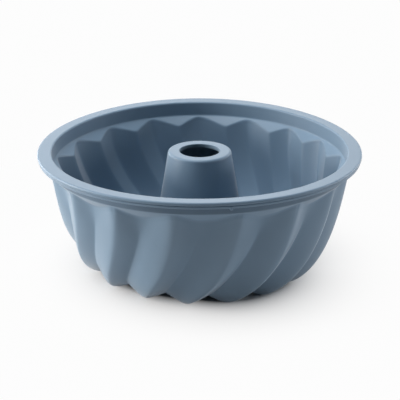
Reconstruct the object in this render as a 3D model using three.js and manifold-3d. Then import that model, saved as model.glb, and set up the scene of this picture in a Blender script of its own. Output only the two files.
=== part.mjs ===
// Fluted tube pan: one silicone moulding stiffened by a steel wire hoop inside its rim.
// Millimetres, +Z up. The origin is on the table, at the middle of the pan.
// The foot of one flute lies on the +X axis.
import * as THREE from "three";
import Module from "manifold-3d";

// Overall size
const RIM_DIAMETER = 240;
const HEIGHT = 91.5;
const WALL = 3.2;

// Rim flange, collar and shoulder
const RIM_WIDTH = 10.5;
const LIP_ROUND = 1.3;
const LIP_THICKNESS = 2.2;
const LIP_GROOVE_DEPTH = 1.3;
const LIP_GROOVE_WIDTH = 0.6;
const LOWER_LIP_INSET = 0.7;
const COLLAR_DEPTH = 11.2;
const COLLAR_DRAFT = 0.2;
const SHOULDER_SLOPE = 0.88;
const OUTER_COLLAR_DEPTH = 10.4;
const OUTER_SHOULDER_SLOPE = 1.25;
const CREST_LEDGE = 1.1;

// Fluted wall and base
const FLUTES = 17;
const FLUTE_DEPTH_TOP = 5.2;
const FLUTE_DEPTH_BASE = 6.5;
const FLUTE_TWIST = 18.5;
const FLUTE_LEAN_TOP = 0.05;
const FLUTE_LEAN_BASE = 0.16;
const CREST_ROUND = 0.06;
const WALL_SLOPE = 0.14;
const WALL_BELLY = 0.6;
const BASE_DIAMETER = 143;
const BASE_CORNER = 24.5;
const PAD_FLAT = 1.2;

// Centre tube
const TUBE_TOP_DIAMETER = 47;
const TUBE_HOLE_DIAMETER = 30.2;
const TUBE_SLOPE = 0.174;
const TUBE_BELOW_RIM = 4.1;
const TUBE_FOOT_HEIGHT = 14;
const TUBE_TOP_ROUND = 1.5;

// Steel hoop in its channel, and the holes left by the pins that held it in the mould
const WIRE_DIAMETER = 2;
const HOOP_CLEARANCE = 0.3;
const RIM_COVER = 0.9;
const PIN_HOLES = 8;
const PIN_HOLE_DIAMETER = 1.8;

// Sizes that follow from the ones above
const rimRadius = RIM_DIAMETER / 2;
const mouthRadius = rimRadius - RIM_WIDTH;
const rimThickness = WIRE_DIAMETER + 2 * (HOOP_CLEARANCE + RIM_COVER);
const rimUnderside = HEIGHT - rimThickness;
const collarFoot = new THREE.Vector2(mouthRadius - COLLAR_DRAFT, HEIGHT - COLLAR_DEPTH);
const collarFootOutside = new THREE.Vector2(collarFoot.x + WALL, HEIGHT - OUTER_COLLAR_DEPTH);
const crestRadius = collarFootOutside.x - CREST_LEDGE;
const baseRadius = BASE_DIAMETER / 2;
const tubeTop = HEIGHT - TUBE_BELOW_RIM;
const tubeTopRadius = TUBE_TOP_DIAMETER / 2;
const tubeHoleRadius = TUBE_HOLE_DIAMETER / 2;
const tubeWallAcross = WALL * Math.hypot(1, TUBE_SLOPE);
const hoopRadius = (collarFootOutside.x + rimRadius) / 2;
const hoopHeight = HEIGHT - rimThickness / 2;
const twist = THREE.MathUtils.degToRad(FLUTE_TWIST);
const pitch = (2 * Math.PI) / FLUTES;

// Where the columns of the skin stand across one flute: crest at 0, valley at half a pitch
const ACROSS = [-0.3, -0.1, 0, 0.1, 0.3, 0.5];
const WALL_STEPS = [0.14, 0.28, 0.42, 0.56, 0.7, 0.82, 0.92, 1];
const FLOOR_STEPS = [0.3, 0.55, 0.78, 1];

// Outside of the flute crests, from the collar down to the table, and on along the floor to the tube
const wallLength = collarFoot.y + PAD_FLAT;
const wallCurve = new THREE.CubicBezierCurve(
  new THREE.Vector2(crestRadius, collarFoot.y),
  new THREE.Vector2(crestRadius - WALL_SLOPE * WALL_BELLY * wallLength, collarFoot.y - WALL_BELLY * wallLength),
  new THREE.Vector2(baseRadius + BASE_CORNER, -PAD_FLAT),
  new THREE.Vector2(baseRadius, -PAD_FLAT),
);
const boreFoot = boreRadius(TUBE_FOOT_HEIGHT);
const floorCurve = new THREE.CubicBezierCurve(
  new THREE.Vector2(baseRadius, -PAD_FLAT),
  new THREE.Vector2(baseRadius - BASE_CORNER, -PAD_FLAT),
  new THREE.Vector2(boreFoot + TUBE_SLOPE * (TUBE_FOOT_HEIGHT + PAD_FLAT), -PAD_FLAT),
  new THREE.Vector2(boreFoot, TUBE_FOOT_HEIGHT),
);

// Outside radius of the tube, and radius of the hollow under it, at a height
function tubeRadius(z) {
  return tubeTopRadius + TUBE_SLOPE * (tubeTop - z);
}

function boreRadius(z) {
  return tubeRadius(z) - tubeWallAcross;
}

// How far the skin lies inside the crest line, from 0 on the rounded crest to 1 in the sharp valley
function fluteShape(across) {
  const far = Math.hypot(0.5, CREST_ROUND) - CREST_ROUND;
  return (Math.hypot(across, CREST_ROUND) - CREST_ROUND) / far;
}

// Flutes hang nearly straight below the collar and sweep round towards the base. They also lean: each
// valley lies short of the middle between two crests, and more so towards the base.
function turnAt(flute, across, z) {
  const drop = THREE.MathUtils.clamp((collarFoot.y - z) / collarFoot.y, 0, 1);
  const lean = FLUTE_LEAN_TOP + (FLUTE_LEAN_BASE - FLUTE_LEAN_TOP) * drop;
  const leaning = across - 2 * lean * Math.abs(across);
  return (flute + leaning) * pitch + twist * (1 - drop ** 2);
}

// Point on a section curve, moved along its inward normal
function offsetPoint(curve, t, distance) {
  const tangent = curve.getTangent(t);
  const point = curve.getPoint(t);
  return new THREE.Vector2(point.x + tangent.y * distance, point.y - tangent.x * distance);
}

// Fluted wall at curve position t: the outside of the skin for skin = 0, the inside for skin = WALL
function wallPoint(t, across, skin) {
  const depth = THREE.MathUtils.lerp(FLUTE_DEPTH_TOP, FLUTE_DEPTH_BASE, t);
  return offsetPoint(wallCurve, t, depth * fluteShape(across) + skin);
}

// Floor: the flutes run in under the base and fade out at the foot of the tube
function floorPoint(t, across, skin) {
  const depth = FLUTE_DEPTH_BASE * (1 - THREE.MathUtils.smoothstep(t, 0, 1));
  return offsetPoint(floorCurve, t, depth * fluteShape(across) + skin);
}

// Where the shoulder, a shallow cone that falls inwards from the collar's foot, meets the fluted wall
function shoulderMeets(foot, slope, across, skin) {
  let low = 0;
  let high = 0.6;
  for (let step = 0; step < 40; step += 1) {
    const middle = (low + high) / 2;
    const point = wallPoint(middle, across, skin);
    const aboveShoulder = point.y - foot.y > slope * (point.x - foot.x);
    if (aboveShoulder) {
      low = middle;
    } else {
      high = middle;
    }
  }
  return low;
}

// Section of one column, a closed loop from the rim's outer edge, through the inside, back under the base
function columnSection(across) {
  const flat = (point) => new THREE.Vector2(point.x, Math.max(point.y, 0));
  const at = (radius, z) => new THREE.Vector2(radius, z);
  const insideTop = shoulderMeets(collarFoot, SHOULDER_SLOPE, across, WALL);
  const outsideTop = shoulderMeets(collarFootOutside, OUTER_SHOULDER_SLOPE, across, 0);
  const along = (top, step) => top + (1 - top) * step;
  const lipRadius = rimRadius - LOWER_LIP_INSET;
  const grooveTop = HEIGHT - LIP_THICKNESS;
  const lipTop = grooveTop - LIP_GROOVE_WIDTH;
  const ceiling = tubeTop - WALL;
  return [
    at(rimRadius - LIP_ROUND, HEIGHT),
    at(mouthRadius + LIP_ROUND / 2, HEIGHT),
    at(mouthRadius, HEIGHT - LIP_ROUND / 2),
    collarFoot,
    wallPoint(insideTop, across, WALL),
    ...WALL_STEPS.map((step) => wallPoint(along(insideTop, step), across, WALL)),
    ...FLOOR_STEPS.map((step) => floorPoint(step, across, WALL)),
    at(tubeRadius(tubeTop - TUBE_TOP_ROUND), tubeTop - TUBE_TOP_ROUND),
    at(tubeTopRadius - 0.3 * TUBE_TOP_ROUND, tubeTop - 0.3 * TUBE_TOP_ROUND),
    at(tubeTopRadius - TUBE_TOP_ROUND, tubeTop),
    at(tubeHoleRadius, tubeTop),
    at(tubeHoleRadius, ceiling),
    at(boreRadius(ceiling), ceiling),
    ...FLOOR_STEPS.toReversed().map((step) => flat(floorPoint(step, across, 0))),
    ...WALL_STEPS.toReversed().map((step) => flat(wallPoint(along(outsideTop, step), across, 0))),
    wallPoint(outsideTop, across, 0),
    collarFootOutside,
    at(collarFootOutside.x + COLLAR_DRAFT, rimUnderside),
    at(lipRadius - LIP_ROUND / 2, rimUnderside),
    at(lipRadius, rimUnderside + LIP_ROUND / 2),
    at(lipRadius, lipTop),
    at(rimRadius - LIP_GROOVE_DEPTH, (grooveTop + lipTop) / 2),
    at(rimRadius - LIP_ROUND / 4, grooveTop),
    at(rimRadius, HEIGHT - LIP_ROUND),
    at(rimRadius - 0.3 * LIP_ROUND, HEIGHT - 0.3 * LIP_ROUND),
  ];
}

// Skin of the whole moulding: the column sections of every flute, joined ring to ring
function mouldingSkin() {
  const columns = [];
  for (let flute = 0; flute < FLUTES; flute += 1) {
    for (const across of ACROSS) {
      columns.push({ flute, across, section: columnSection(across) });
    }
  }
  const rings = columns[0].section.length;
  const positions = [];
  for (const { flute, across, section } of columns) {
    for (const point of section) {
      const turned = turnAt(flute, across, point.y);
      positions.push(point.x * Math.cos(turned), point.x * Math.sin(turned), point.y);
    }
  }
  const faces = [];
  for (let column = 0; column < columns.length; column += 1) {
    const here = column * rings;
    const next = ((column + 1) % columns.length) * rings;
    for (let ring = 0; ring < rings; ring += 1) {
      const after = (ring + 1) % rings;
      faces.push(here + ring, next + after, here + after);
      faces.push(here + ring, next + ring, next + after);
    }
  }
  const skin = new THREE.BufferGeometry();
  skin.setAttribute("position", new THREE.Float32BufferAttribute(positions, 3));
  skin.setIndex(faces);
  return skin;
}

// Ring of round section, lying level at the hoop's height
function ringAtHoop(sectionRadius) {
  return new THREE.TorusGeometry(hoopRadius, sectionRadius, 8, 4 * FLUTES).translate(0, 0, hoopHeight);
}

// Solids for joins and cuts: vertices at one place are merged, so that each body is closed
const wasm = await Module();
wasm.setup();

function toSolid(geometry) {
  const position = geometry.getAttribute("position");
  const order = geometry.getIndex().array;
  const numbers = new Map();
  const vertices = [];
  const merged = [];
  for (let i = 0; i < position.count; i += 1) {
    const place = [position.getX(i), position.getY(i), position.getZ(i)];
    const key = place.map((value) => Math.round(value * 1e4)).join(" ");
    if (!numbers.has(key)) {
      numbers.set(key, numbers.size);
      vertices.push(...place);
    }
    merged.push(numbers.get(key));
  }
  const triangles = [];
  for (let i = 0; i < order.length; i += 3) {
    const corners = [merged[order[i]], merged[order[i + 1]], merged[order[i + 2]]];
    if (new Set(corners).size === 3) {
      triangles.push(...corners);
    }
  }
  return new wasm.Manifold(new wasm.Mesh({
    numProp: 3,
    vertProperties: new Float32Array(vertices),
    triVerts: new Uint32Array(triangles),
  }));
}

function toGeometry(solid) {
  const mesh = solid.getMesh();
  const geometry = new THREE.BufferGeometry();
  geometry.setAttribute("position", new THREE.BufferAttribute(new Float32Array(mesh.vertProperties), 3));
  geometry.setIndex(new THREE.BufferAttribute(new Uint32Array(mesh.triVerts), 1));
  geometry.computeVertexNormals();
  return geometry;
}

// The moulding: its skin, less the hoop's channel and the pin holes that open the channel downwards
function siliconeMoulding() {
  let solid = toSolid(mouldingSkin());
  solid = solid.subtract(toSolid(ringAtHoop(WIRE_DIAMETER / 2 + HOOP_CLEARANCE)));
  const holeLength = hoopHeight - rimUnderside + rimThickness;
  for (let hole = 0; hole < PIN_HOLES; hole += 1) {
    const angle = (hole / PIN_HOLES) * 2 * Math.PI;
    const pin = new THREE.CylinderGeometry(PIN_HOLE_DIAMETER / 2, PIN_HOLE_DIAMETER / 2, holeLength, 12);
    pin.rotateX(Math.PI / 2);
    pin.translate(hoopRadius * Math.cos(angle), hoopRadius * Math.sin(angle), hoopHeight - holeLength / 2);
    solid = solid.subtract(toSolid(pin));
  }
  return toGeometry(solid);
}

function namedMesh(name, geometry, colour, roughness, metalness) {
  const material = new THREE.MeshStandardMaterial({ color: colour, roughness, metalness });
  const mesh = new THREE.Mesh(geometry, material);
  mesh.name = name;
  return mesh;
}

const pan = new THREE.Group();
pan.name = "fluted_tube_pan";
pan.add(namedMesh("silicone_moulding", siliconeMoulding(), 0x5f7a93, 0.6, 0));
pan.add(namedMesh("rim_hoop", toGeometry(toSolid(ringAtHoop(WIRE_DIAMETER / 2))), 0xb9bcc0, 0.35, 1));

export default pan;
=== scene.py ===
# %% [markdown]
# # Silicone fluted tube pan
# A soft baking pan for ring cakes: one blue-grey silicone moulding with sweeping flutes, a flat rim
# stiffened by a hidden steel hoop, and a hollow tube in the middle that lets hot air through.
# The CAD part arrives as a fixed frame. It says where everything is; this file gives it its finish.

# %% Load the packed part
import math

import bmesh
import bpy
import numpy as np
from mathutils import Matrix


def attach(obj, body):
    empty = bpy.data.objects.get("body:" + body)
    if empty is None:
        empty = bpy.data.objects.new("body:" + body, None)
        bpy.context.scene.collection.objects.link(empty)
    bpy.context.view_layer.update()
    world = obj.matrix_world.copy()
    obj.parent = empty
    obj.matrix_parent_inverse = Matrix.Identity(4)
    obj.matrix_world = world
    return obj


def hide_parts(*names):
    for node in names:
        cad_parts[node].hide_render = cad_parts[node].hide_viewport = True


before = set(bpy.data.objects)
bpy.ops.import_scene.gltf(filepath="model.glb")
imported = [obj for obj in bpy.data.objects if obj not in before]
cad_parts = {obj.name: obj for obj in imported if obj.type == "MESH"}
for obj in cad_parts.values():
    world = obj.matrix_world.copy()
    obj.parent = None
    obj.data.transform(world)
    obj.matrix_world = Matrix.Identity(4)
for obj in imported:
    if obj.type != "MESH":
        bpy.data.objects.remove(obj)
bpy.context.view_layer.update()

# %% [markdown]
# ## Sizes
# The moulding is drawn again here with soft edges, so its sizes are the part's own, in millimetres.
# A radius is measured from the tube's axis and a height from the table.

# %% Sizes in millimetres
MM = 0.001
RIM_RADIUS = 120.0
HEIGHT = 91.5
WALL = 3.2
MOUTH_RADIUS = RIM_RADIUS - 10.5
RIM_THICKNESS = 4.4
LIP_THICKNESS = 2.2
LIP_RADIUS = RIM_RADIUS - 0.7
GROOVE_DEPTH = 1.3
GROOVE_WIDTH = 0.6
COLLAR_DRAFT = 0.2
FOOT_INSIDE = np.array([MOUTH_RADIUS - COLLAR_DRAFT, HEIGHT - 11.2])
FOOT_OUTSIDE = np.array([FOOT_INSIDE[0] + WALL, HEIGHT - 10.4])
SLOPE_INSIDE = 0.88
SLOPE_OUTSIDE = 0.98
CREST_RADIUS = FOOT_OUTSIDE[0] - 1.1
FLUTES = 17
FLUTE_DEPTH_TOP = 5.2
FLUTE_DEPTH_BASE = 6.5
LEAN_TOP = 0.05
LEAN_BASE = 0.16
TWIST = math.radians(18.5)
WALL_SLOPE = 0.14
WALL_BELLY = 0.6
BASE_RADIUS = 71.5
BASE_CORNER = 24.5
PAD_FLAT = 1.2
TUBE_TOP = HEIGHT - 4.1
TUBE_TOP_RADIUS = 23.5
TUBE_HOLE_RADIUS = 15.1
TUBE_SLOPE = 0.174
TUBE_FOOT_HEIGHT = 14.0
HOOP_RADIUS = (FOOT_OUTSIDE[0] + RIM_RADIUS) / 2
HOOP_HEIGHT = HEIGHT - RIM_THICKNESS / 2
print("hoop radius", round(HOOP_RADIUS, 2), "mm, collar foot", FOOT_INSIDE.round(2))

# %% [markdown]
# ## Columns round the pan
# The moulding is a section carried round the axis. Each flute gets the same set of columns, packed
# closely at its crest and in its valley, where the skin bends, and thinly across the flat sides.

# %% Columns
COLUMNS = 20
PACKING = 0.7
even = np.arange(COLUMNS) / COLUMNS - 0.5
across_one = even - PACKING / (4 * np.pi) * np.sin(4 * np.pi * even)
across = np.tile(across_one, FLUTES)
pitch = 2 * np.pi / FLUTES
column_angle = (np.repeat(np.arange(FLUTES), COLUMNS) + across) * pitch
print(len(across), "columns")

# %% [markdown]
# ## Flutes
# A flute is two nearly flat sides that meet in a soft crest and in a crisp valley. Two hyperbolas
# give that: the distance to the crest line less the distance to the valley line, each rounded by
# its own small radius, in shares of a flute's width. Inside the pan it is the other way round:
# there the crest is a crisp groove and the valley a soft ridge. Sine waves would be simpler, but
# they look like a jelly mould.

# %% Flute and wall formulas
TOP_PART = 0.2
INSIDE = (0.13, 0.03, 0.025, 0.045)
OUTSIDE = (0.07, 0.60, 0.07, 0.015)


def flute(t, rounds):
    """Depth of the skin across a flute, 0 on the crest and 1 in the valley, at every column.

    The square root of x squared plus the crest radius squared, less the same for the valley line
    half a pitch away, less x, then stretched to run from 0 to 1. Crest and valley start at the top
    of the wall, t = 0, with the first two radii, and have the other two from TOP_PART downwards.
    """
    fade = np.clip(1 - t / TOP_PART, 0, 1) ** 2
    top_crest, top_valley, low_crest, low_valley = rounds
    crest_round = low_crest + (top_crest - low_crest) * fade
    valley_round = low_valley + (top_valley - low_valley) * fade

    def fold(x):
        return np.hypot(x, crest_round) - np.hypot(0.5 - x, valley_round) - x
    return (fold(np.abs(across)) - fold(0.0)) / (fold(0.5) - fold(0.0))


def bezier(t, corners):
    """Cubic Bezier point and its left-hand normal: corners weighted by powers of t and 1 - t."""
    a, b, c, d = (np.asarray(corner) for corner in corners)
    s, t = (1 - t)[..., None], t[..., None]
    point = s**3 * a + 3 * s**2 * t * b + 3 * s * t**2 * c + t**3 * d
    slope = s**2 * (b - a) + 2 * s * t * (c - b) + t**2 * (d - c)
    slope = slope / np.linalg.norm(slope, axis=-1, keepdims=True)
    return point, np.stack([slope[..., 1], -slope[..., 0]], axis=-1)


def bore_radius(z):
    """Radius of the hollow under the tube: the tube's cone, less the wall measured across it."""
    return TUBE_TOP_RADIUS + TUBE_SLOPE * (TUBE_TOP - z) - WALL * math.hypot(1, TUBE_SLOPE)


wall_drop = FOOT_INSIDE[1] + PAD_FLAT
WALL_CORNERS = [
    (CREST_RADIUS, FOOT_INSIDE[1]),
    (CREST_RADIUS - WALL_SLOPE * WALL_BELLY * wall_drop, FOOT_INSIDE[1] - WALL_BELLY * wall_drop),
    (BASE_RADIUS + BASE_CORNER, -PAD_FLAT),
    (BASE_RADIUS, -PAD_FLAT),
]
bore_foot = bore_radius(TUBE_FOOT_HEIGHT)
FLOOR_CORNERS = [
    (BASE_RADIUS, -PAD_FLAT),
    (BASE_RADIUS - BASE_CORNER, -PAD_FLAT),
    (bore_foot + TUBE_SLOPE * (TUBE_FOOT_HEIGHT + PAD_FLAT), -PAD_FLAT),
    (bore_foot, TUBE_FOOT_HEIGHT),
]
print("wall runs", np.round(WALL_CORNERS[0], 1), "to", WALL_CORNERS[-1])

# %% [markdown]
# ## Wall, floor and shoulder
# The wall and the floor are the crest line moved inwards by the flute's depth, and by the wall's
# thickness for the inside. The shoulder is a shallow cone below the collar. Where it runs into the
# flutes it leaves the scalloped edge that the photo shows inside and, more faintly, outside.

# %% Rows of the wall
FOOT_ROWS, EDGE_ROWS, WALL_ROWS, FLOOR_ROWS = 6, 7, 41, 23
ROW_SPREAD = 1.15
WALL_LENGTH = 110.0
LOWEST_EDGE, HALVINGS = 0.6, 40
COLLAR_STUB = np.array([0.018, 0.9])
SOFT_INSIDE, SOFT_OUTSIDE = 1.1, 1.8
CORNER_SHARE = 0.45


def wall_rows(t, rounds, skin):
    """Crest line at t plus its normal times (flute depth, growing from top to base, plus skin)."""
    point, normal = bezier(t, WALL_CORNERS)
    depth = FLUTE_DEPTH_TOP + (FLUTE_DEPTH_BASE - FLUTE_DEPTH_TOP) * t
    return point + normal * (depth * flute(t, rounds) + skin)[..., None]


def floor_rows(t, rounds, skin):
    """Floor line at t plus its normal times (flute depth, fading out at the tube, plus skin)."""
    point, normal = bezier(t, FLOOR_CORNERS)
    depth = FLUTE_DEPTH_BASE * (1 - t * t * (3 - 2 * t))
    return point + normal * (depth * flute(1.0, rounds) + skin)[..., None]


def scallop_edge(foot, slope, rounds, skin):
    """Curve position in every column where the sloping shoulder meets the wall, by halving."""
    low, high = np.zeros(len(across)), np.full(len(across), LOWEST_EDGE)
    for _ in range(HALVINGS):
        middle = (low + high) / 2
        gap = wall_rows(middle, rounds, skin) - foot
        above = gap[:, 1] > slope * gap[:, 0]
        low, high = np.where(above, middle, low), np.where(above, high, middle)
    return low


def soft_corner(before, corner, after, steps):
    """Quadratic curve from one point to another, pulled towards the corner between them."""
    t = np.linspace(0, 1, steps)[:, None, None]
    return (1 - t) ** 2 * before + 2 * t * (1 - t) * corner + t**2 * after


def wall_side(foot, slope, rounds, skin, soft):
    """Rows of one side of the wall: from the collar's foot, over the scalloped edge, to the base.

    Both corners are quadratic curves that start and end a softness away, in mm, or a share of the
    shoulder's length where that is less.
    """
    start = scallop_edge(foot, slope, rounds, skin)
    edge = wall_rows(start, rounds, skin)
    foot = np.broadcast_to(foot, edge.shape)
    length = np.linalg.norm(edge - foot, axis=-1, keepdims=True)
    fall = (edge - foot) / length
    cut = np.minimum(soft, CORNER_SHARE * length)
    after = start + soft / WALL_LENGTH
    wall_t = after + (1 - after) * np.linspace(0, 1, WALL_ROWS + 1)[1:, None] ** ROW_SPREAD
    rows = [
        soft_corner(foot + COLLAR_STUB, foot, foot + cut * fall, FOOT_ROWS),
        soft_corner(edge - cut * fall, edge, wall_rows(after, rounds, skin), EDGE_ROWS),
        wall_rows(wall_t, rounds, skin),
    ]
    return np.concatenate(rows)


inside_wall = wall_side(FOOT_INSIDE, SLOPE_INSIDE, INSIDE, WALL, SOFT_INSIDE)
outside_wall = wall_side(FOOT_OUTSIDE, SLOPE_OUTSIDE, OUTSIDE, 0.0, SOFT_OUTSIDE)
floor_t = np.linspace(0, 1, FLOOR_ROWS + 1)[1:, None] + 0 * across
inside_floor = floor_rows(floor_t, INSIDE, WALL)
outside_floor = floor_rows(floor_t, OUTSIDE, 0.0)
print("wall rows", inside_wall.shape, "floor rows", inside_floor.shape)

# %% [markdown]
# ## Rim and tube
# These are plain turned shapes, the same in every column: a few corners, each one softened. Real
# silicone has no sharp edges, and it is the softened edge that catches the light.

# %% Turned rows
BEND_ROWS = 6
LEAD = 1.25


def turned_rows(corners):
    """Rows through corners (radius, height, softness): each corner becomes a quadratic curve that
    starts and ends at its softness, with one more row beyond each end to keep the flats flat."""
    corners = np.array(corners)
    places, cuts = corners[:, :2], corners[1:-1, 2, None]
    back = places[:-2] - places[1:-1]
    ahead = places[2:] - places[1:-1]
    back = back / np.linalg.norm(back, axis=1, keepdims=True)
    ahead = ahead / np.linalg.norm(ahead, axis=1, keepdims=True)
    turns = places[1:-1]
    bend = soft_corner(turns + cuts * back, turns, turns + cuts * ahead, BEND_ROWS)
    lead_in = turns + LEAD * cuts * back
    lead_out = turns + LEAD * cuts * ahead
    rows = np.concatenate([lead_in[None], bend, lead_out[None]]).transpose(1, 0, 2).reshape(-1, 2)
    return np.broadcast_to(rows[:, None, :], (len(rows), len(across), 2))


underside = HEIGHT - RIM_THICKNESS
groove_top = HEIGHT - LIP_THICKNESS
groove_low = groove_top - GROOVE_WIDTH
rim = turned_rows([
    (FOOT_OUTSIDE[0], FOOT_OUTSIDE[1] + 2, 0),
    (FOOT_OUTSIDE[0] + COLLAR_DRAFT, underside, 0.9),
    (LIP_RADIUS, underside, 0.6),
    (LIP_RADIUS, groove_low, 0.3),
    (RIM_RADIUS - GROOVE_DEPTH, (groove_top + groove_low) / 2, 0.15),
    (RIM_RADIUS - 0.1, groove_top, 0.4),
    (RIM_RADIUS, HEIGHT, 1.3),
    (MOUTH_RADIUS, HEIGHT, 1.3),
    (FOOT_INSIDE[0], FOOT_INSIDE[1] + 2, 0),
])
ceiling = TUBE_TOP - WALL
tube_foot_out = TUBE_TOP_RADIUS + TUBE_SLOPE * (TUBE_TOP - TUBE_FOOT_HEIGHT)
tube = turned_rows([
    (tube_foot_out, TUBE_FOOT_HEIGHT, 0),
    (TUBE_TOP_RADIUS, TUBE_TOP, 1.7),
    (TUBE_HOLE_RADIUS, TUBE_TOP, 0.4),
    (TUBE_HOLE_RADIUS, ceiling, 0.5),
    (bore_radius(ceiling), ceiling, 1.2),
    (bore_foot, TUBE_FOOT_HEIGHT, 0),
])
print("rim rows", rim.shape, "tube rows", tube.shape)

# %% [markdown]
# ## The moulding's skin
# The stretches follow one another into a closed loop: rim, inside, tube, underside and back to the
# rim. Every point is then turned about the axis by its column's angle plus the twist at its height.
# The flutes lean too: a valley lies nearer to the crest on one side than to that on the other.
# A soft pan never stands quite true, so the rim also dips by a little more than a millimetre on the
# left and right and rises as much in front and behind, where the flange also tips up at its edge.
# The flutes on the right are pulled a few degrees out of place, in front one way and behind the
# other.

# %% Skin of the moulding
VIEW_TURN = math.radians(8.53)
SAG = 1.1
RIM_LIFT = 0.25
FLANGE_TIP = 0.25
FLANGE_MIDDLE = 113.5
TIP_INWARDS = -0.4
PAD_ROUND = 0.1
EXTRA_SWEEPS = np.radians([(-52, 75, 4.0), (60, 38, -1.8)])
BULGE_PLACE = np.radians([-55, 95])
BULGE, BULGE_ELSEWHERE = 1.2, -0.2
COLLAR_TOP_ROWS, COLLAR_FOOT_ROWS = 5, 3


def stand_flat(rows):
    """Flattens the feet: half of (z plus the root of z squared plus PAD_ROUND squared)."""
    z = rows[..., 1]
    return np.stack([rows[..., 0], (z + np.hypot(z, PAD_ROUND)) / 2], axis=-1)


def place_round(radius, angle, z):
    """Radius, angle and height in mm to x, y, z in m.

    The height loses the sag, a cosine of twice the angle that fades towards the table as the height
    to the power 1.5 and towards the axis as the radius squared. The flange tips in proportion to
    the distance from a circle in its middle, and below it that fades by the height to the power 8.
    """
    swing = np.cos(2 * (angle + VIEW_TURN))
    up = np.clip(z / HEIGHT, 0, 1)
    outwards = np.clip((radius - FLANGE_MIDDLE) / (RIM_RADIUS - MOUTH_RADIUS), TIP_INWARDS, 1)
    tip = FLANGE_TIP * (1 - swing) * outwards * up**8
    z = z + (RIM_LIFT - SAG * swing) * (radius / RIM_RADIUS) ** 2 * up**1.5 + tip
    return np.stack([radius * np.cos(angle), radius * np.sin(angle), z], axis=-1) * MM


def near(angle, direction, width):
    """1 in a direction of the view, falling to 0 a width away by the square of a cosine."""
    aside = np.angle(np.exp(1j * (angle + VIEW_TURN - direction)))
    return np.cos(np.clip(aside / width, -1, 1) * np.pi / 2) ** 2


def turn_section(rows, angle):
    """Section to space: the column's angle, less a lean in proportion to the distance from the
    crest, plus the twist, which fades with the square of the drop below the collar.

    Low on the wall the crests on the right in front bulge back, by the cube of the drop times what
    is left of it. Each row of EXTRA_SWEEPS holds a direction in the view, a width and a twist that
    is added there.
    """
    radius, z = rows[..., 0], rows[..., 1]
    drop = np.clip((FOOT_INSIDE[1] - z) / FOOT_INSIDE[1], 0, 1)
    share = near(angle + TWIST, *BULGE_PLACE)
    bulge = (BULGE * share + BULGE_ELSEWHERE * (1 - share)) * drop**3 * (1 - drop)
    lean = LEAN_TOP + (LEAN_BASE - LEAN_TOP) * drop + bulge
    angle = angle + (bulge - 2 * lean * np.abs(across)) * pitch
    twist = TWIST
    for direction, width, extra in EXTRA_SWEEPS:
        twist = twist + extra * near(angle + TWIST, direction, width)
    return place_round(radius, angle + twist * (1 - drop**2), z)


def grid_mesh(name, points):
    """Closed mesh from a grid that joins up in both directions: one quad for each cell."""
    rows, columns = points.shape[:2]
    row, column = np.meshgrid(np.arange(rows), np.arange(columns), indexing="ij")
    next_row, next_column = (row + 1) % rows, (column + 1) % columns
    corners = [(row, column), (row, next_column), (next_row, next_column), (next_row, column)]
    quads = np.stack([r * columns + c for r, c in corners], axis=-1).reshape(-1, 4)
    mesh = bpy.data.meshes.new(name)
    mesh.from_pydata(points.reshape(-1, 3).tolist(), [], quads.tolist())
    mesh.polygons.foreach_set("use_smooth", np.ones(len(quads), dtype=bool))
    mesh.update()
    piece = bpy.data.objects.new(name, mesh)
    bpy.context.scene.collection.objects.link(piece)
    return piece


loop = np.concatenate([
    rim,
    inside_wall,
    inside_floor,
    tube,
    stand_flat(outside_floor[::-1]),
    stand_flat(outside_wall[::-1]),
])
moulding = grid_mesh("silicone_pan", turn_section(loop, column_angle))
crest_mask = np.zeros(loop.shape[:2])
corner_rows = FOOT_ROWS + EDGE_ROWS
first = len(rim) + corner_rows
crest_mask[first:first + WALL_ROWS] = 1 - flute(1.0, OUTSIDE)
crest_mask[-corner_rows - WALL_ROWS:-corner_rows] = 1 - flute(1.0, OUTSIDE)
# The collar rows under the rim carry a mask for painted shade in the silicone's colour.
collar_shade_mask = np.zeros(loop.shape[:2])
collar_shade_mask[:COLLAR_TOP_ROWS] = 1
collar_shade_mask[-COLLAR_FOOT_ROWS:] = 1
for name, mask in (("crest", crest_mask), ("painted_collar_shade", collar_shade_mask)):
    attribute = moulding.data.attributes.new(name, "FLOAT", "POINT")
    attribute.data.foreach_set("value", mask.astype(np.float32).ravel())
print("moulding", 2 * len(moulding.data.polygons), "triangles")

# %% [markdown]
# ## Hoop, channel and pin holes
# The hoop is moulded in: pins in the mould carry the wire, and leave eight small holes under the
# rim. The wire is a ring of round section. A slightly thicker ring and eight pins are cut away from
# the moulding with Booleans, which is simpler than working round holes into the grid.

# %% Hoop and cuts
WIRE_RADIUS = 1.0
CHANNEL_RADIUS = 1.3
STEPS_ROUND, STEPS_SECTION = 340, 16
PIN_HOLES = 8
PIN_RADIUS = 0.9
PIN_LENGTH = 6.0


def wire_ring(section):
    """Ring of round section at the hoop's place: one circle carried round another."""
    turn = np.linspace(0, 2 * np.pi, STEPS_ROUND, endpoint=False)
    roll = np.linspace(0, 2 * np.pi, STEPS_SECTION, endpoint=False)[:, None]
    radius = HOOP_RADIUS + section * np.cos(roll) + 0 * turn
    return place_round(radius, turn + 0 * roll, HOOP_HEIGHT - section * np.sin(roll) + 0 * turn)


def pin_cutters():
    """Eight upright cylinders from below the rim to the middle of the hoop."""
    shape = bmesh.new()
    for angle in np.arange(PIN_HOLES) * 2 * np.pi / PIN_HOLES:
        pin = bmesh.ops.create_cone(shape, cap_ends=True, segments=24, radius1=PIN_RADIUS * MM,
                                    radius2=PIN_RADIUS * MM, depth=PIN_LENGTH * MM)
        middle = place_round(np.array(HOOP_RADIUS), angle, np.array(HOOP_HEIGHT - PIN_LENGTH / 2))
        bmesh.ops.translate(shape, verts=pin["verts"], vec=middle.tolist())
    mesh = bpy.data.meshes.new("pins")
    shape.to_mesh(mesh)
    shape.free()
    cutter = bpy.data.objects.new("pins", mesh)
    bpy.context.scene.collection.objects.link(cutter)
    return cutter


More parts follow.
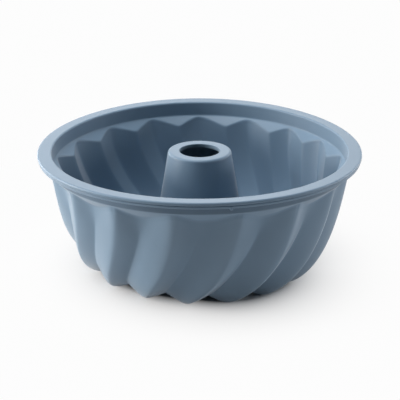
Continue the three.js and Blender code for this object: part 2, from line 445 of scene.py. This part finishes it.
cutters = [grid_mesh("channel", wire_ring(CHANNEL_RADIUS)), pin_cutters()]
for cutter in cutters:
    cut = moulding.modifiers.new(cutter.name, "BOOLEAN")
    cut.operation, cut.solver, cut.object = "DIFFERENCE", "EXACT", cutter
graph = bpy.context.evaluated_depsgraph_get()
cut_mesh = bpy.data.meshes.new_from_object(moulding.evaluated_get(graph))
moulding.modifiers.clear()
moulding.data = cut_mesh
cut_mesh.set_sharp_from_angle(angle=math.radians(60))
for cutter in cutters:
    bpy.data.objects.remove(cutter)
hoop = grid_mesh("steel_hoop", wire_ring(WIRE_RADIUS))
print("after the cuts", len(cut_mesh.vertices), "vertices")

# %% [markdown]
# ## Shader maths
# A socket is wrapped so that sums read as Python. `make` adds any other node: its settings first,
# then a value or another wrapped socket for each input, by name or by number.

# %% Socket class
class Signal:
    """An output socket in a node tree. Arithmetic on it adds Math nodes."""

    def __init__(self, tree, socket=None):
        self.tree, self.socket = tree, socket

    def make(self, kind, settings=None, inputs=None, output=0):
        node = self.tree.nodes.new(kind)
        for name, value in (settings or {}).items():
            setattr(node, name, value)
        for name, value in (inputs or {}).items():
            if isinstance(value, Signal):
                self.tree.links.new(value.socket, node.inputs[name])
            else:
                node.inputs[name].default_value = value
        return Signal(self.tree, node.outputs[output] if node.outputs else None)

    def maths(self, operation, first, second):
        return self.make("ShaderNodeMath", {"operation": operation}, {0: first, 1: second})

    def __add__(self, other):
        return self.maths("ADD", self, other)

    def __sub__(self, other):
        return self.maths("SUBTRACT", self, other)

    def __rsub__(self, other):
        return self.maths("SUBTRACT", other, self)

    def __mul__(self, other):
        return self.maths("MULTIPLY", self, other)

    __radd__ = __add__
    __rmul__ = __mul__

    def blend(self, low, high):
        """Colour that goes from low, where this value is 0, to high, where it is 1."""
        mix = {"data_type": "RGBA"}
        return self.make("ShaderNodeMix", mix, {0: self, 6: low, 7: high}, output=2)


def new_material(name):
    """Empty node material, and a bare Signal to start its nodes from."""
    material = bpy.data.materials.new(name)
    material.use_nodes = True
    material.node_tree.nodes.clear()
    return material, Signal(material.node_tree)


print("reflected forms", [word for word in vars(Signal) if word.startswith("__r")])

# %% [markdown]
# ## Silicone
# Baking silicone is dyed through, matte and slightly soft to the light. Up close it shows the fine
# blasted texture of its mould and faint clouds in the dye. The crests are a touch paler: a painted
# highlight. The collar under the rim is a darker tone: painted shade for the flange's shadow, which
# the lamps alone leave too light. Object coordinates and the two attributes drive all of it.

# %% Silicone finish
DYE_DARK, DYE_PALE = (0.128, 0.205, 0.292, 1), (0.143, 0.223, 0.312, 1)
# The paler crest tone is a painted highlight along the crests.
PAINTED_CREST_HIGHLIGHT = (0.165, 0.250, 0.345, 1)
# The darker collar tone is painted shade under the flange.
PAINTED_COLLAR_SHADE = (0.075, 0.125, 0.185, 1)


def silicone_finish():
    """Cloudy dye, blended towards a paler painted highlight on the crests and painted shade on the
    collar.
    """
    material, bare = new_material("blue_grey_silicone")
    place = bare.make("ShaderNodeTexCoord", output=3)
    clouds = bare.make("ShaderNodeTexNoise", None, {"Vector": place, "Scale": 26.0, "Detail": 3.0})
    grain = bare.make("ShaderNodeTexNoise", None, {"Vector": place, "Scale": 1400.0, "Detail": 2.0})
    crest = bare.make("ShaderNodeAttribute", {"attribute_name": "crest"}, output=2)
    painted_collar_shade = bare.make("ShaderNodeAttribute", {"attribute_name": "painted_collar_shade"}, output=2)
    dye = (clouds * 1.6 - 0.3).blend(DYE_DARK, DYE_PALE)
    # Crests blend towards a paler tone: a painted highlight.
    crest_highlight = (crest * crest * (0.35 + clouds * 0.5)).blend(dye, PAINTED_CREST_HIGHLIGHT)
    bump = bare.make("ShaderNodeBump", None, {
        "Strength": 0.22,
        "Distance": 0.08 * MM,
        "Height": grain + clouds * 0.5,
    })
    surface = bare.make("ShaderNodeBsdfPrincipled", None, {
        # The collar rows blend towards a darker tone: painted shade under the flange.
        "Base Color": (painted_collar_shade * (0.7 + clouds * 0.5)).blend(crest_highlight, PAINTED_COLLAR_SHADE),
        "Roughness": 0.43 + grain * 0.1 - crest * 0.05,
        "IOR": 1.41,
        "Sheen Weight": 0.3,
        "Sheen Roughness": 0.35,
        "Normal": bump,
    })
    bare.make("ShaderNodeOutputMaterial", None, {"Surface": surface})
    return material


silicone = silicone_finish()
moulding.data.materials.clear()
moulding.data.materials.append(silicone)
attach(moulding, "root")
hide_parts("silicone_moulding")
print("silicone on", moulding.name)

# %% [markdown]
# ## Gate mark
# Where the silicone was fed into the mould, a small tab was cut off and left a stub on the lower
# lip, in front and a little right of the middle. It is a block of six faces with a bevel.

# %% Gate mark
MARK_ANGLE = math.radians(9.9 - 90) - VIEW_TURN
MARK_RADII = np.array([117.4, 119.65])
MARK_TURN = np.array([-1.0, 1.0]) / 119


def gate_mark():
    """Block 2 mm wide on the lower lip: every choice of two radii, two angles and two heights."""
    z = np.array([underside - 1.2, groove_low - 0.1])
    choices = np.meshgrid(MARK_RADII, MARK_ANGLE + MARK_TURN, z, indexing="ij")
    r, a, h = (v.ravel() for v in choices)
    quads = [(0, 1, 3, 2), (4, 6, 7, 5), (0, 4, 5, 1), (2, 3, 7, 6), (0, 2, 6, 4), (1, 5, 7, 3)]
    mesh = bpy.data.meshes.new("gate_mark")
    mesh.from_pydata(place_round(r, a, h).tolist(), [], quads)
    piece = bpy.data.objects.new("gate_mark", mesh)
    bpy.context.scene.collection.objects.link(piece)
    bevel = piece.modifiers.new("soft_edges", "BEVEL")
    bevel.width, bevel.segments = 0.45 * MM, 3
    return piece


mark = gate_mark()
mark.data.materials.append(silicone)
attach(mark, "root")
print("gate mark", [round(v / MM, 1) for v in mark.dimensions], "mm")

# %% [markdown]
# ## Steel hoop
# The hoop hardly shows: only through the pin holes. It has drawn wire's finish, bright steel with
# fine streaks.

# %% Steel finish
def steel_finish():
    """Bright metal whose tone and roughness follow one fine noise."""
    material, bare = new_material("drawn_steel_wire")
    place = bare.make("ShaderNodeTexCoord", output=3)
    noise = {"Vector": place, "Scale": 900.0, "Detail": 4.0}
    streaks = bare.make("ShaderNodeTexNoise", None, noise)
    surface = bare.make("ShaderNodeBsdfPrincipled", None, {
        "Base Color": streaks.blend((0.50, 0.51, 0.53, 1), (0.66, 0.67, 0.68, 1)),
        "Metallic": 1.0,
        "Roughness": 0.25 + streaks * 0.2,
    })
    bare.make("ShaderNodeOutputMaterial", None, {"Surface": surface})
    return material


hoop.data.materials.append(steel_finish())
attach(hoop, "root")
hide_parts("rim_hoop")
print("steel on", hoop.name)

# %% [markdown]
# ## Floor and backdrop
# The pan stands on a plain white sweep. Under the pan the floor takes real light, so it keeps the
# shadow. Further out it turns plain white for the camera and for reflections, where a strength of 1
# is white: every 12.5 mm from the base, half of what is left of the paper's own shade goes.
# The shade reaches further out on the right in front, because most of the light comes from the
# left. So the distance is taken from two circles, and the smaller one counts.

# %% Floor
WHITE = (0.98, 0.98, 0.98, 1)
PAPER_DARK, PAPER_PALE = (0.71, 0.71, 0.71, 1), (0.73, 0.73, 0.73, 1)
SHADE_CIRCLES = [((0, 0, 0), 0.0715), ((0.0134, -0.0252, 0), 0.0525)]
SHADE_HALVING = 0.0125
REACH = 4.0


def seen_rays(bare):
    """1 for a ray from the camera, a reflection or a view through glass, and 0 for light."""
    rays = [bare.make("ShaderNodeLightPath", output=number) for number in (0, 3, 6)]
    return bare.maths("MAXIMUM", bare.maths("MAXIMUM", rays[0], rays[1]), rays[2])


def floor_finish():
    """Paper that turns white with distance: 1 less a half to the power of distance over halving."""
    material, bare = new_material("white_sweep")
    place = bare.make("ShaderNodeTexCoord", output=3)
    distance = {"operation": "DISTANCE"}
    gaps = [bare.make("ShaderNodeVectorMath", distance, {0: place, 1: middle}, output=1) - radius
            for middle, radius in SHADE_CIRCLES]
    beyond = bare.maths("MAXIMUM", bare.maths("MINIMUM", *gaps), 0.0)
    far = 1.0 - bare.maths("POWER", 0.5, beyond * (1 / SHADE_HALVING))
    speckle = bare.make("ShaderNodeTexNoise", None, {"Vector": place, "Scale": 40.0, "Detail": 2.0})
    seen = seen_rays(bare)
    paper = bare.make("ShaderNodeBsdfPrincipled", None, {
        "Base Color": speckle.blend(PAPER_DARK, PAPER_PALE),
        "Roughness": 0.9,
        "Specular IOR Level": 0.1,
    })
    white = bare.make("ShaderNodeEmission", None, {"Color": WHITE, "Strength": 1.0})
    surface = bare.make("ShaderNodeMixShader", None, {0: far * seen, 1: paper, 2: white})
    bare.make("ShaderNodeOutputMaterial", None, {"Surface": surface})
    return material


corners = [(-REACH, -REACH, 0), (REACH, -REACH, 0), (REACH, REACH, 0), (-REACH, REACH, 0)]
floor_mesh = bpy.data.meshes.new("sweep")
floor_mesh.from_pydata(corners, [], [(0, 1, 2, 3)])
sweep = bpy.data.objects.new("sweep", floor_mesh)
bpy.context.scene.collection.objects.link(sweep)
sweep.data.materials.append(floor_finish())
print("floor", 2 * REACH, "m across")

# %% [markdown]
# ## Light
# The photo has its main light low on the left, another soft one high on the left, and weaker ones
# from behind, above and the right. Nearly none comes from the camera's side, so the flutes in front
# fall into shade. The two low boxes on the left are a little warm. The world is white to the camera
# and to reflections, and dim as a light. A row of LAMPS is a name, two directions in degrees, a
# distance and a size in metres, and a power in watts.

# %% Lamps and world
PAN_MIDDLE = np.array([0, 0, 0.05])
WORLD_FILL = 0.01
WARM = (1.0, 0.93, 0.86)


def soft_box(name, azimuth, elevation, distance, size, power):
    """Square lamp in a direction, a distance away, facing the middle of the pan. Azimuth 0 is right
    of the camera's view and 90 is behind the pan."""
    light = bpy.data.lights.new(name, "AREA")
    light.shape, light.size, light.energy = "SQUARE", size, power
    lamp = bpy.data.objects.new(name, light)
    bpy.context.scene.collection.objects.link(lamp)
    yaw, rise = math.radians(azimuth) - VIEW_TURN, math.radians(elevation)
    aim = np.array([math.cos(rise) * math.cos(yaw), math.cos(rise) * math.sin(yaw), math.sin(rise)])
    lamp.location = distance * aim + PAN_MIDDLE
    lamp.rotation_euler = (0, math.pi / 2 - rise, yaw)


LAMPS = [
    ("left_low_box", 180, 8, 1.0, 0.3, 11.0),
    ("left_high_box", 180, 30, 1.1, 0.6, 2.4),
    ("left_back_box", 140, 10, 1.0, 0.4, 4.7),
    ("right_box", 0, 6, 1.0, 0.25, 3.0),
    ("right_back_box", 35, 12, 1.0, 0.4, 3.1),
    ("back_box", 90, 25, 1.2, 0.8, 2.3),
    ("left_top_box", 180, 70, 1.2, 0.5, 8.0),
    ("top_box", 90, 88, 1.3, 0.4, 6.2),
]
for row in LAMPS:
    soft_box(*row)
for name in ("left_low_box", "left_back_box"):
    bpy.data.lights[name].color = WARM

world = bpy.data.worlds.new("studio")
world.use_nodes = True
world.node_tree.nodes.clear()
air = Signal(world.node_tree)
strength = WORLD_FILL + seen_rays(air) * (1.0 - WORLD_FILL)
glow = air.make("ShaderNodeBackground", None, {"Color": WHITE, "Strength": strength})
air.make("ShaderNodeOutputWorld", None, {"Surface": glow})
bpy.context.scene.world = world
bpy.context.scene.view_settings.view_transform = "Standard"

# %% [markdown]
# ## Camera
# The view was fitted to the rim, the tube, the flutes and the outline in the photo: about 77 cm
# away, 22 degrees above the table, with a long lens. The picture is square.

# %% Camera
ELEVATION = math.radians(21.87)
AZIMUTH = math.radians(-90) - VIEW_TURN
DISTANCE = 0.775
PICTURE_PIXELS = 400.0
FOCAL_PIXELS = 1017.0
AIM_HEIGHT = 0.0463
AIM_RIGHT = 0.36
AIM_UP = 1.25

lens = bpy.data.cameras.new("photo_view")
lens.sensor_width = 36.0
lens.lens = lens.sensor_width * FOCAL_PIXELS / PICTURE_PIXELS
camera = bpy.data.objects.new("photo_view", lens)
bpy.context.scene.collection.objects.link(camera)
level = math.cos(ELEVATION)
backward = np.array([level * math.cos(AZIMUTH), level * math.sin(AZIMUTH), math.sin(ELEVATION)])
rightward = np.array([-math.sin(AZIMUTH), math.cos(AZIMUTH), 0])
upward = np.cross(backward, rightward)
pixel = DISTANCE / FOCAL_PIXELS
target = np.array([0, 0, AIM_HEIGHT]) + pixel * (AIM_RIGHT * rightward + AIM_UP * upward)
camera.location = target + DISTANCE * backward
camera.rotation_euler = (math.pi / 2 - ELEVATION, 0, AZIMUTH + math.pi / 2)
bpy.context.scene.camera = camera
print("camera", [round(v, 3) for v in camera.location], "lens", round(lens.lens, 1), "mm")
